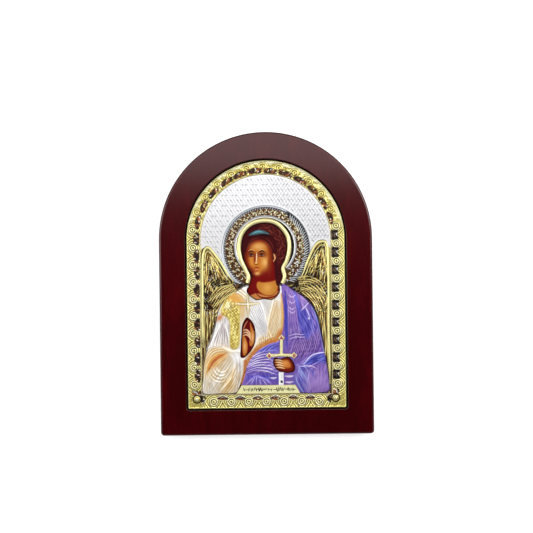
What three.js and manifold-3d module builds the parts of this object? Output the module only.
// Arched icon panel: a wooden board with a routed pocket, a painted panel laid in the pocket,
// and a pressed metal cover over the picture. It lies on its back: X to the right, Y up the
// picture, Z out of the front, the origin in the middle of the back. Millimetres.

import * as THREE from 'three';
import { mergeVertices } from 'three/addons/utils/BufferGeometryUtils.js';
import Module from 'manifold-3d';

// Wooden board
const BOARD_WIDTH = 148;
const BOARD_HEIGHT = 210;
const BOARD_DEPTH = 17;
const BOARD_CORNER = 2.5;
const BOARD_ROUNDING = 1.5;
const BACK_CHAMFER = 0.8;

// Routed pocket in the board's face
const POCKET_WIDTH = 111.8;
const POCKET_TOP = 86.2;
const POCKET_BOTTOM = -87.6;
const POCKET_DEPTH = 3;
const POCKET_CORNER = 2;

// Painted panel, and the metal cover over it
const PANEL_THICKNESS = 1;
const SHEET_THICKNESS = 0.8;
const COVER_GAP = 1;
const COVER_CORNER = 0.8;

// Levels up through the stack
const POCKET_FLOOR = BOARD_DEPTH - POCKET_DEPTH;
const PANEL_TOP = POCKET_FLOOR + PANEL_THICKNESS;
const SHEET_TOP = PANEL_TOP + SHEET_THICKNESS;
const HALO_LEVEL = SHEET_TOP + 0.4;
const WING_LEVEL = SHEET_TOP + 0.6;
const ROBE_LEVEL = SHEET_TOP + 1.8;
const SLEEVE_LEVEL = SHEET_TOP + 2.2;
const PLAQUE_LEVEL = SHEET_TOP + 2.3;
const HILT_LEVEL = SHEET_TOP + 2.4;

// Border band round the cover
const BORDER_WIDTH = 9.9;
const BORDER_RIM = 1.1;
const ROSETTE_PITCH = 12;
const ROSETTE_RADIUS = 3.7;
const ROSETTE_LINE = 4.7;
const ROSETTE_SIDES = 7;
const SIDE_ROSETTES = 9;
const SIDE_ROSETTES_FROM = -69.8;
const ARCH_ROSETTES = 13;
const ARCH_ROSETTES_FROM = 0.157;
const FOOT_ROSETTES = 7;
const FOOT_PITCH = 12.3;
const CORNER_BOSS = [48, -79.9];
const LEAF_WIDTH = 1.5;
const LEAF_HEIGHT = 0.8;

// Halo rings, from the outside in
const HALO_CENTRE = [0.2, 23.4];
const ROPE_RADIUS = 29.6;
const ROPE_WIDTH = 2.4;
const ROPE_STRANDS = 40;
const SCROLL_RADIUS = 25.8;
const SCROLL_COUNT = 18;
const COLLAR_RADIUS = 22.3;
const COLLAR_WIDTH = 1.6;
const WINDOW_RIM_WIDTH = 3;

const ARCH_SEGMENTS = 28;
const CORNER_SEGMENTS = 3;
const RING_SEGMENTS = 40;
const KEEL_DEPTH = 0.7;
const CUT_MARGIN = 3;

// Openings in the cover: the head and neck, the raised hand and the closed hand
const HEAD_WINDOW = [
  [-12, -1.5], [-10.5, 4.5], [-13, 10.5], [-16, 17.5], [-17, 25.5], [-15, 34], [-9, 40],
  [-0.5, 42], [7.5, 40], [13.5, 33], [15, 25], [13.5, 17], [10.5, 10.5], [11.5, 4],
  [9.5, -0.5], [9.5, -6.5], [4.5, -11.5], [-1.5, -11], [-7.5, -11.5], [-13.5, -6],
];
const RAISED_HAND_WINDOW = [
  [-13, -23.5], [-9.7, -26.5], [-8, -31], [-7.5, -37.5], [-8.7, -43], [-11.5, -47.5],
  [-15.5, -51.3], [-18.3, -50.5], [-18, -44.5], [-17.5, -36], [-16.8, -29], [-15, -25],
];
const CLOSED_HAND_WINDOW = [
  [5.3, -51.5], [9.5, -52.2], [14.5, -51], [17.8, -53.7], [19.5, -58], [18.5, -61.4],
  [13.5, -62.2], [7.5, -60.5], [4.4, -56],
];

// Outlines of the raised areas
const WING_LEFT = [
  [-45, -42], [-45, -11], [-44.7, 19.5], [-43.2, 24.6], [-40.3, 26.3], [-36.8, 23.5],
  [-31.4, 15.8], [-25.9, 6], [-20.5, 0.4], [-12, -2], [-24, -12], [-35, -30],
];
const WING_RIGHT = [
  [43.8, -60], [44, -12], [44, 18.5], [43.4, 26], [40.6, 30], [34.5, 27.5], [29.6, 17.2],
  [25.9, 7.5], [22.4, 2.7], [14, -2], [28, -14], [37, -32],
];
const TUNIC = [
  [-12, -1], [-17.5, -2.8], [-24.5, -7], [-30.5, -12.5], [-34, -19.5], [-36, -29], [-39, -39],
  [-42, -47], [-36, -58], [-20, -58], [-9, -48.5], [0, -42], [11, -39.5], [13, -20], [11.5, -2],
];
const MANTLE = [
  [10.5, -0.5], [14.5, -1], [18.5, -4], [24, -7.5], [29.5, -12.5], [33.5, -18], [36.5, -26],
  [38.5, -36.5], [40.5, -46.5], [42.5, -59], [43.6, -69], [43, -75], [38, -76.8], [24, -76.8],
  [-16, -74], [-14, -58], [-7, -47.5], [2, -42], [9, -39], [11.8, -24],
];
const RIGHT_SLEEVE = [
  [-41.5, -45.5], [-37, -43.2], [-30.5, -43.2], [-24.5, -46], [-18.5, -46], [-15, -53.5],
  [-14.5, -61], [-18, -71], [-21.5, -76.2], [-33, -76.8], [-44.8, -76.2], [-45, -65], [-44, -54],
];
const LEFT_SLEEVE = [
  [22, -56.5], [30, -50.8], [40, -48.5], [42.3, -59], [43.4, -69], [42.6, -74.8], [37, -76.5],
  [26, -76.5], [22, -67],
];
const SHOULDER_BAND = [
  [-30.5, -13.8], [-24.5, -10.5], [-19.5, -16], [-18.5, -27], [-19.5, -44.5], [-26, -44],
  [-26.3, -28.5], [-32.3, -22],
];
const PLAQUE = [[-21.5, -76.4], [23, -76.4], [19.6, -70.4], [-17.6, -70.4]];

// Folds and feathers come in families: the first and the last of each are given as three
// points, and the rest lie evenly between them.
const FOLD = { width: 2.1, height: 0.75, stations: 5 };
const FEATHER = { width: 3, height: 0.8, stations: 5 };
const TUNIC_FOLDS = [
  { first: [[-7.5, -12.9], [-4.8, -26.8], [-0.6, -39]],
    last: [[-1.9, -12.6], [0, -24], [1.5, -36]], count: 3 },
  { first: [[4.3, -12.6], [3.9, -25], [2.9, -38]], last: [[9.6, -8.9], [9, -24], [7.6, -38]], count: 3 },
  { first: [[-34.4, -26], [-36.2, -34], [-38.6, -42]],
    last: [[-28.4, -25], [-28, -34], [-28.6, -42]], count: 3 },
  { first: [[-14, -3], [-20, -7], [-27, -13]],
    last: [[-13.5, -7.5], [-16, -10.5], [-19.5, -13.5]], count: 2 },
];
const MANTLE_FOLDS = [
  { first: [[12.4, -5], [13.6, -22], [14, -41]], last: [[18, -5.5], [22.9, -22], [25.5, -38]], count: 4 },
  { first: [[21.7, -7.5], [28, -18], [31.3, -33]], last: [[30, -15], [35, -27], [38.3, -43]], count: 3 },
  { first: [[17.5, -41], [21, -46.5], [22.5, -54]],
    last: [[32, -36], [35, -41.5], [37.5, -47]], count: 4 },
  { first: [[-12, -54.6], [-4, -51.5], [4, -55.5]], last: [[-14, -66], [-4, -64], [6, -64.5]], count: 5 },
];
const SLEEVE_FOLDS = [
  { first: [[-39, -56.5], [-35.5, -50.5], [-26, -47]],
    last: [[-37, -66], [-31, -59.5], [-20, -53]], count: 4 },
  { first: [[-42.5, -74.5], [-41.6, -68], [-38.5, -61]],
    last: [[-22.5, -74], [-19, -66], [-16.6, -57]], count: 5 },
  { first: [[23.6, -59], [26, -67], [27.8, -75]], last: [[39, -52.5], [41.2, -64], [40, -74]], count: 5 },
];
const FEATHERS = [
  { first: [[-43, -2], [-42.7, 11], [-41.7, 22]], last: [[-31.5, -2], [-34.6, 8], [-38, 20]], count: 4 },
  { first: [[-27.5, -0.5], [-37, -5], [-43, -10]],
    last: [[-24, -4], [-30.5, -11.5], [-35, -21]], count: 5 },
  { first: [[-42.5, -18.5], [-42.9, -31], [-43.3, -44]],
    last: [[-37, -19.5], [-38.4, -30], [-41, -41]], count: 3 },
  { first: [[40.6, -4], [40.8, 11], [39.8, 26]], last: [[28.5, -1.5], [32, 11], [36.2, 24]], count: 5 },
  { first: [[23.8, -1], [32.5, -6], [41, -10]], last: [[26, -6.5], [32.5, -12], [37.8, -21]], count: 5 },
  { first: [[41.4, -19], [41.9, -36], [42.3, -54]],
    last: [[37.8, -21.5], [39.8, -34], [41.6, -47]], count: 3 },
];
const WING_RIMS = [
  [[-44, -44], [-44, -11], [-43.7, 15], [-42.6, 23], [-40.3, 25.6], [-37, 22.8], [-31.4, 15],
    [-25.9, 5.4], [-20.5, -0.2], [-12, -2]],
  [[42.6, -60], [43, -30], [43.2, 14], [42.9, 25], [40.6, 29], [35, 26.6], [29.8, 16.8],
    [26, 7], [22.6, 1.6], [13.5, -2.8]],
];
const HEMS = [
  { points: [[11.5, -40.2], [2.6, -41], [-3, -44.3], [-8.7, -49.2], [-13.4, -52]],
    width: 1.8, level: ROBE_LEVEL },
  { points: [[10.9, -2], [11.6, -20], [11.4, -39.5]], width: 1.8, level: ROBE_LEVEL },
  { points: [[-14.2, -54], [-15.8, -63], [-18.6, -71], [-21, -75.6]], width: 1.8, level: SLEEVE_LEVEL },
];

// Hilt of the sword and the length of scabbard below the closed hand
const HILT_X = 10.6;
const POMMEL_Y = -37.7;
const POMMEL_RADIUS = 2.4;
const GUARD_Y = -49.6;
const GUARD_HALF_LENGTH = 10;
const GUARD_JEWEL_X = 8.3;
const BAR_WIDTH = 1.9;
const SCABBARD_TOP = -61.5;
const SCABBARD_BOTTOM = -70.6;
const SCABBARD_WIDTH = 3.4;

// Rows of short strokes on the plaque
const STROKE_COUNT = 14;
const STROKE_LENGTH = 2.6;
const STROKE_WIDTH = 0.7;

const wasm = await Module();
wasm.setup();

/** Drops the triangles that merging has closed up, and returns position and index alone. */
function mergedGeometry(geometry) {
  const bare = geometry.clone();
  bare.deleteAttribute('normal');
  bare.deleteAttribute('uv');
  const merged = mergeVertices(bare, 1e-4);
  const index = merged.index.array;
  const kept = [];
  for (let i = 0; i < index.length; i += 3) {
    const [a, b, c] = [index[i], index[i + 1], index[i + 2]];
    if (a !== b && b !== c && c !== a) kept.push(a, b, c);
  }
  merged.setIndex(kept);
  return merged;
}

/** A closed geometry as a solid that can be joined and cut. */
function toSolid(geometry) {
  const merged = mergedGeometry(geometry);
  return new wasm.Manifold(new wasm.Mesh({
    numProp: 3,
    vertProperties: new Float32Array(merged.attributes.position.array),
    triVerts: new Uint32Array(merged.index.array),
  }));
}

/** The solid's surface as a three.js geometry. */
function toGeometry(body) {
  const mesh = body.getMesh();
  const geometry = new THREE.BufferGeometry();
  geometry.setAttribute('position', new THREE.BufferAttribute(mesh.vertProperties, 3));
  geometry.setIndex(new THREE.BufferAttribute(mesh.triVerts, 1));
  geometry.computeVertexNormals();
  return geometry;
}

/** A geometry from a list of [x, y, z] points and a list of corner numbers. */
function indexedGeometry(points, corners) {
  const geometry = new THREE.BufferGeometry();
  geometry.setAttribute('position', new THREE.Float32BufferAttribute(points.flat(), 3));
  geometry.setIndex(corners);
  return geometry;
}

/** Joins many solids into one. */
function joined(solids) {
  return solids.reduce((whole, next) => whole.add(next));
}

/**
 * Points of an arched outline, anticlockwise from the lower left corner: a half circle on
 * straight sides, with rounded lower corners. Outlines of any size match point for point.
 */
function archRing({ width, top, bottom, corner }) {
  const half = width / 2;
  const centreY = top - half;
  const points = [];
  const arc = (x, y, radius, from, to, segments) => {
    for (let i = 0; i <= segments; i += 1) {
      const angle = from + ((to - from) * i) / segments;
      points.push([x + radius * Math.cos(angle), y + radius * Math.sin(angle)]);
    }
  };
  arc(-half + corner, bottom + corner, corner, Math.PI, 1.5 * Math.PI, CORNER_SEGMENTS);
  arc(half - corner, bottom + corner, corner, 1.5 * Math.PI, 2 * Math.PI, CORNER_SEGMENTS);
  arc(0, centreY, half, 0, Math.PI, ARCH_SEGMENTS);
  return points;
}

/** The same arch drawn in by a distance all round. */
function insetArch(arch, inset) {
  return {
    width: arch.width - 2 * inset,
    top: arch.top - inset,
    bottom: arch.bottom + inset,
    corner: Math.max(arch.corner - inset, 0.3),
  };
}

/** [x, y] pairs as three.js plane points. */
function planePoints(points) {
  return points.map(([x, y]) => new THREE.Vector2(x, y));
}

/** A solid lofted through rings of equal point count, each ring [points, z]. */
function loft(rings, closed) {
  const count = rings[0][0].length;
  const points = rings.flatMap(([ring, z]) => ring.map(([x, y]) => [x, y, z]));
  const corners = [];
  const levels = closed ? rings.length : rings.length - 1;
  for (let level = 0; level < levels; level += 1) {
    const above = (level + 1) % rings.length;
    for (let i = 0; i < count; i += 1) {
      const j = (i + 1) % count;
      const [a, b] = [level * count + i, level * count + j];
      const [c, d] = [above * count + j, above * count + i];
      corners.push(a, b, c, a, c, d);
    }
  }
  if (!closed) {
    const last = (rings.length - 1) * count;
    const bottom = THREE.ShapeUtils.triangulateShape(planePoints(rings[0][0]), []);
    const top = THREE.ShapeUtils.triangulateShape(planePoints(rings.at(-1)[0]), []);
    bottom.forEach(([a, b, c]) => corners.push(a, c, b));
    top.forEach(([a, b, c]) => corners.push(last + a, last + b, last + c));
  }
  return toSolid(indexedGeometry(points, corners));
}

/** Points along a smooth curve through the given ones. */
function smooth(points, count, closed) {
  const knots = points.map(([x, y]) => new THREE.Vector3(x, y, 0));
  const curve = new THREE.CatmullRomCurve3(knots, closed, 'centripetal');
  const steps = closed ? count : count - 1;
  return Array.from({ length: count }, (_, i) => {
    const point = curve.getPointAt(i / steps);
    return [point.x, point.y];
  });
}

/** A raised area with a rounded edge, up to the given level. */
function raisedArea(outline, level, edge, count) {
  const ring = count ? smooth(outline, count, true) : outline;
  const shape = new THREE.Shape(planePoints(ring));
  const geometry = new THREE.ExtrudeGeometry(shape, {
    depth: level - edge - SHEET_TOP,
    steps: 1,
    bevelThickness: edge,
    bevelSize: edge,
    bevelOffset: -edge,
    bevelSegments: 1,
  });
  geometry.translate(0, 0, SHEET_TOP);
  return toSolid(geometry);
}

/** A through cut with the given outline. */
function opening(outline, count) {
  const shape = new THREE.Shape(planePoints(smooth(outline, count, true)));
  const depth = HILT_LEVEL - PANEL_TOP + 2 * CUT_MARGIN;
  const geometry = new THREE.ExtrudeGeometry(shape, { depth, bevelEnabled: false });
  geometry.translate(0, 0, PANEL_TOP - CUT_MARGIN);
  return toSolid(geometry);
}

/** Unit vectors across a path at each of its points. */
function acrossPath(path, closed) {
  return path.map((_, i) => {
    const before = closed ? path.at(i - 1) : path[Math.max(i - 1, 0)];
    const after = closed ? path[(i + 1) % path.length] : path[Math.min(i + 1, path.length - 1)];
    const [dx, dy] = [after[0] - before[0], after[1] - before[1]];
    const length = Math.hypot(dx, dy);
    return [-dy / length, dx / length];
  });
}

/** A ridge along a path, pointed at both ends, with its crest above the given level. */
function ridge(points, { width, height, stations, level, blunt = 0.75 }) {
  const path = smooth(points, stations, false);
  const across = acrossPath(path, false);
  const vertices = [[...path[0], level]];
  for (let i = 1; i < stations - 1; i += 1) {
    const swell = Math.sin((Math.PI * i) / (stations - 1)) ** (1 - blunt);
    const [x, y] = path[i];
    const [ax, ay] = across[i].map((value) => (value * width * swell) / 2);
    vertices.push([x + ax, y + ay, level], [x, y, level - KEEL_DEPTH]);
    vertices.push([x - ax, y - ay, level], [x, y, level + height * swell]);
  }
  vertices.push([...path.at(-1), level]);
  const corners = [];
  const last = vertices.length - 1;
  for (let side = 0; side < 4; side += 1) {
    const next = (side + 1) % 4;
    corners.push(0, 1 + side, 1 + next);
    corners.push(last, last - 4 + next, last - 4 + side);
    for (let i = 0; i < stations - 3; i += 1) {
      const [a, b] = [1 + 4 * i + side, 1 + 4 * i + next];
      corners.push(a, a + 4, b + 4, a, b + 4, b);
    }
  }
  return toSolid(indexedGeometry(vertices, corners));
}

/** The ridges of one family, spaced evenly from its first to its last. */
function ridgeFamily({ first, last, count }, size) {
  return Array.from({ length: count }, (_, i) => {
    const share = i / (count - 1);
    const between = (from, to) => from + (to - from) * share;
    const points = first.map(([x, y], k) => [between(x, last[k][0]), between(y, last[k][1])]);
    return ridge(points, size);
  });
}

/** A raised rim round a closed outline, four-sided in section. */
function closedRim(path, width, level, height) {
  const across = acrossPath(path, true);
  const offset = (distance) => path.map(([x, y], i) => [
    x + across[i][0] * distance,
    y + across[i][1] * distance,
  ]);
  return loft([
    [offset(-width / 2), level - KEEL_DEPTH],
    [offset(-width / 2), level],
    [offset(0), level + height],
    [offset(width / 2), level],
    [offset(width / 2), level - KEEL_DEPTH],
  ], true);
}

/** A circle of points round the halo's centre. */
function haloCircle(radius, segments) {
  return Array.from({ length: segments }, (_, i) => {
    const angle = (2 * Math.PI * i) / segments;
    return [HALO_CENTRE[0] + radius * Math.cos(angle), HALO_CENTRE[1] + radius * Math.sin(angle)];
  });
}

/** One rosette of the border: a ring round a central boss. */
function rosette(x, y, turn) {
  const profile = [
    [0, SHEET_TOP - KEEL_DEPTH / 2],
    [ROSETTE_RADIUS, SHEET_TOP - KEEL_DEPTH / 2],
    [ROSETTE_RADIUS * 0.78, SHEET_TOP + 0.8],
    [ROSETTE_RADIUS * 0.5, SHEET_TOP + 0.3],
    [0, SHEET_TOP + 1.2],
  ].map(([radius, z]) => new THREE.Vector2(radius, z));
  const geometry = new THREE.LatheGeometry(profile, ROSETTE_SIDES);
  geometry.rotateX(Math.PI / 2);
  geometry.rotateZ(turn);
  geometry.translate(x, y, 0);
  return toSolid(geometry);
}

/** Places round the border where rosettes sit, with the direction of the border there. */
function borderPlaces(arch) {
  const line = insetArch(arch, ROSETTE_LINE);
  const half = line.width / 2;
  const centreY = line.top - half;
  const places = [];
  for (let i = 0; i < SIDE_ROSETTES; i += 1) {
    const y = SIDE_ROSETTES_FROM + ROSETTE_PITCH * i;
    places.push({ x: half, y, angle: 0 }, { x: -half, y, angle: Math.PI });
  }
  const archStep = (Math.PI - 2 * ARCH_ROSETTES_FROM) / (ARCH_ROSETTES - 1);
  for (let i = 0; i < ARCH_ROSETTES; i += 1) {
    const angle = ARCH_ROSETTES_FROM + archStep * i;
    places.push({ x: half * Math.cos(angle), y: centreY + half * Math.sin(angle), angle });
  }
  for (let i = 0; i < FOOT_ROSETTES; i += 1) {
    const x = FOOT_PITCH * (i - (FOOT_ROSETTES - 1) / 2);
    places.push({ x, y: line.bottom, angle: -Math.PI / 2 });
  }
  const [cornerX, cornerY] = CORNER_BOSS;
  places.push({ x: cornerX, y: cornerY, angle: -Math.PI * 0.25 });
  places.push({ x: -cornerX, y: cornerY, angle: -Math.PI * 0.75 });
  return places;
}

/** A curled leaf on the inner half of the border, half a pitch on from a rosette. */
function leaf({ x, y, angle }) {
  const along = [-Math.sin(angle), Math.cos(angle)];
  const inward = [-Math.cos(angle), -Math.sin(angle)];
  const at = (step, depth) => [
    x + along[0] * step + inward[0] * depth,
    y + along[1] * step + inward[1] * depth,
  ];
  const start = ROSETTE_PITCH / 2;
  const points = [at(start - 1.8, 1.2), at(start, 3.4), at(start + 1.6, 2.2)];
  return ridge(points, {
    width: LEAF_WIDTH, height: LEAF_HEIGHT, stations: 4, level: SHEET_TOP, blunt: 0.6,
  });
}

/** The border band: outer and inner rims, rosettes and leaves. */
function border(arch) {
  const rim = (inset, width, height) => loft([
    [archRing(insetArch(arch, inset)), PANEL_TOP + 0.1],
    [archRing(insetArch(arch, inset + width)), PANEL_TOP + 0.1],
    [archRing(insetArch(arch, inset + width)), SHEET_TOP + height * 0.5],
    [archRing(insetArch(arch, inset + width / 2)), SHEET_TOP + height],
    [archRing(insetArch(arch, inset)), SHEET_TOP + height * 0.5],
  ].reverse(), true);
  const places = borderPlaces(arch);
  return [
    rim(0, BORDER_RIM, 0.8),
    rim(BORDER_WIDTH - BORDER_RIM, BORDER_RIM, 0.7),
    ...places.map(({ x, y, angle }) => rosette(x, y, angle)),
    ...places.filter(({ y }) => y > arch.bottom + BORDER_WIDTH).map(leaf),
  ];
}

/** The halo: a rope ring, a ring of scrolls, a plain collar and the rim of the head opening. */
function halo() {
  const strand = (index) => {
    const angle = (2 * Math.PI * index) / ROPE_STRANDS;
    const step = (2 * Math.PI) / ROPE_STRANDS;
    const at = (radius, turn) => [
      HALO_CENTRE[0] + radius * Math.cos(angle + turn),
      HALO_CENTRE[1] + radius * Math.sin(angle + turn),
    ];
    const outerEnd = at(ROPE_RADIUS + ROPE_WIDTH / 2, -step * 0.4);
    const innerEnd = at(ROPE_RADIUS - ROPE_WIDTH / 2, step * 0.4);
    return ridge([outerEnd, innerEnd], { width: 2.2, height: 0.7, stations: 3, level: HALO_LEVEL });
  };
  const scroll = (index) => {
    const angle = (2 * Math.PI * index) / SCROLL_COUNT;
    const side = index % 2 ? 1 : -1;
    const at = (radius, turn) => [
      HALO_CENTRE[0] + radius * Math.cos(angle + turn),
      HALO_CENTRE[1] + radius * Math.sin(angle + turn),
    ];
    const points = [
      at(SCROLL_RADIUS - 2 * side, -0.13),
      at(SCROLL_RADIUS + 1.4 * side, -0.03),
      at(SCROLL_RADIUS - 0.6 * side, 0.13),
    ];
    return ridge(points, { width: 2, height: 0.8, stations: 4, level: HALO_LEVEL });
  };
  const disc = raisedArea(haloCircle(ROPE_RADIUS + ROPE_WIDTH / 2, RING_SEGMENTS), HALO_LEVEL, 0.3);
  const windowEdge = smooth(HEAD_WINDOW, RING_SEGMENTS, true);
  const outward = acrossPath(windowEdge, true);
  const rimLine = windowEdge.map(([x, y], i) => [
    x + (outward[i][0] * WINDOW_RIM_WIDTH) / 2,
    y + (outward[i][1] * WINDOW_RIM_WIDTH) / 2,
  ]);
  return [
    disc,
    closedRim(haloCircle(COLLAR_RADIUS, RING_SEGMENTS).reverse(), COLLAR_WIDTH, HALO_LEVEL, 0.7),
    closedRim(rimLine, WINDOW_RIM_WIDTH, HALO_LEVEL, 1),
    ...Array.from({ length: ROPE_STRANDS }, (_, i) => strand(i)),
    ...Array.from({ length: SCROLL_COUNT }, (_, i) => scroll(i)),
  ];
}

/** Both wings: a low plate each, rows of feathers and the raised outer rim. */
function wings() {
  const rimSize = { width: 2.4, height: 1, stations: 14, level: WING_LEVEL, blunt: 0.9 };
  return [
    raisedArea(WING_LEFT, WING_LEVEL, 0.4, 24),
    raisedArea(WING_RIGHT, WING_LEVEL, 0.4, 24),
    ...FEATHERS.flatMap((family) => ridgeFamily(family, { ...FEATHER, level: WING_LEVEL })),
    ...WING_RIMS.map((points) => ridge(points, rimSize)),
  ];
}

/** The robes: tunic, mantle, both sleeves, the shoulder band, folds and hems. */
function robes() {
  const folds = (families, level) => families.flatMap((family) => ridgeFamily(family, { ...FOLD, level }));
  return [
    raisedArea(TUNIC, ROBE_LEVEL, 0.9, 36),
    raisedArea(MANTLE, ROBE_LEVEL, 0.9, 40),
    raisedArea(SHOULDER_BAND, ROBE_LEVEL + 0.4, 0.4, 20),
    raisedArea(RIGHT_SLEEVE, SLEEVE_LEVEL, 0.9, 30),
    raisedArea(LEFT_SLEEVE, SLEEVE_LEVEL, 0.9, 24),
    ...folds(TUNIC_FOLDS, ROBE_LEVEL),
    ...folds(MANTLE_FOLDS, ROBE_LEVEL),
    ...folds(SLEEVE_FOLDS, SLEEVE_LEVEL),
    ...HEMS.map(({ points, width, level }) => ridge(points, { width, height: 0.6, stations: 6, level })),
  ];
}

/** A four-sided bar with a raised crest between two points. */
function bar(from, to, width, height) {
  const length = Math.hypot(to[0] - from[0], to[1] - from[1]);
  const section = new THREE.Shape([
    new THREE.Vector2(-width / 2, -1.6),
    new THREE.Vector2(width / 2, -1.6),
    new THREE.Vector2(width / 2, 0),
    new THREE.Vector2(0, height),
    new THREE.Vector2(-width / 2, 0),
  ]);
  const geometry = new THREE.ExtrudeGeometry(section, { depth: length, bevelEnabled: false });
  geometry.rotateX(Math.PI / 2);
  geometry.rotateZ(Math.atan2(to[1] - from[1], to[0] - from[0]) + Math.PI / 2);
  geometry.translate(from[0], from[1], HILT_LEVEL - height);
  return toSolid(geometry);
}

/** A pointed four-sided jewel setting. */
function setting(x, y, radius) {
  const geometry = new THREE.CylinderGeometry(radius * 0.55, radius, 2.6, 4);
  geometry.rotateX(Math.PI / 2);
  geometry.translate(x, y, HILT_LEVEL + 0.3 - 1.3);
  return toSolid(geometry);
}

/** The sword: pommel, grip, guard with a setting at each end, and the scabbard. */
function sword() {
  return [
    setting(HILT_X, POMMEL_Y, POMMEL_RADIUS),
    bar([HILT_X, POMMEL_Y], [HILT_X, GUARD_Y], BAR_WIDTH, 0.7),
    bar([HILT_X - GUARD_HALF_LENGTH, GUARD_Y], [HILT_X + GUARD_HALF_LENGTH, GUARD_Y], BAR_WIDTH, 0.7),
    setting(HILT_X - GUARD_JEWEL_X, GUARD_Y, POMMEL_RADIUS),
    setting(HILT_X + GUARD_JEWEL_X, GUARD_Y, POMMEL_RADIUS),
    bar([HILT_X, SCABBARD_TOP], [HILT_X, SCABBARD_BOTTOM], SCABBARD_WIDTH, 0.5),
  ];
}

/** The plaque at the foot, with a row of short strokes. */
function plaque() {
  const strokes = Array.from({ length: STROKE_COUNT }, (_, i) => {
    const x = -15.5 + (32.5 * i) / (STROKE_COUNT - 1);
    const lean = i % 3 === 0 ? 0.5 : 0;
    const points = [[x - lean, -73.4 - STROKE_LENGTH / 2], [x + lean, -73.4 + STROKE_LENGTH / 2]];
    return ridge(points, { width: STROKE_WIDTH, height: 0.3, stations: 3, level: PLAQUE_LEVEL });
  });
  return [raisedArea(PLAQUE, PLAQUE_LEVEL, 0.4), ...strokes];
}

const boardArch = {
  width: BOARD_WIDTH, top: BOARD_HEIGHT / 2, bottom: -BOARD_HEIGHT / 2, corner: BOARD_CORNER,
};
const pocketArch = {
  width: POCKET_WIDTH, top: POCKET_TOP, bottom: POCKET_BOTTOM, corner: POCKET_CORNER,
};
const coverArch = { ...insetArch(pocketArch, COVER_GAP), corner: COVER_CORNER };

/** The board: back chamfer, sides, rounded front edge, face, pocket wall and pocket floor. */
function woodenBoard() {
  const rings = [
    [archRing(insetArch(boardArch, BACK_CHAMFER)), 0],
    [archRing(boardArch), BACK_CHAMFER],
  ];
  const steps = 3;
  for (let i = 0; i <= steps; i += 1) {
    const angle = ((Math.PI / 2) * i) / steps;
    const inset = BOARD_ROUNDING * (1 - Math.cos(angle));
    const z = BOARD_DEPTH - BOARD_ROUNDING * (1 - Math.sin(angle));
    rings.push([archRing(insetArch(boardArch, inset)), z]);
  }
  rings.push([archRing(pocketArch), BOARD_DEPTH], [archRing(pocketArch), POCKET_FLOOR]);
  return loft(rings, false);
}

/** The flat panel that carries the painted picture. */
function paintedPanel() {
  return loft([[archRing(coverArch), POCKET_FLOOR], [archRing(coverArch), PANEL_TOP]], false);
}

/** The pressed sheet with its border, halo, wings, robes, sword and plaque, and its openings. */
function metalCover() {
  const sheet = loft([[archRing(coverArch), PANEL_TOP], [archRing(coverArch), SHEET_TOP]], false);
  const cover = joined([
    sheet, ...border(coverArch), ...halo(), ...wings(), ...robes(), ...sword(), ...plaque(),
  ]);
  const below = loft([[archRing(boardArch), 0], [archRing(boardArch), PANEL_TOP]], false);
  const windows = joined([
    opening(HEAD_WINDOW, RING_SEGMENTS),
    opening(RAISED_HAND_WINDOW, 20),
    opening(CLOSED_HAND_WINDOW, 18),
  ]);
  return cover.subtract(below).subtract(windows);
}

/** A named mesh with its finish. */
function piece(name, body, color, roughness, metalness) {
  const material = new THREE.MeshStandardMaterial({ color, roughness, metalness });
  const mesh = new THREE.Mesh(toGeometry(body), material);
  mesh.name = name;
  return mesh;
}

const group = new THREE.Group();
group.add(
  piece('wooden_board', woodenBoard(), 0x3a0a10, 0.35, 0),
  piece('painted_panel', paintedPanel(), 0xc98a45, 0.5, 0),
  piece('metal_cover', metalCover(), 0xd9cf8f, 0.3, 1),
);

export default group;
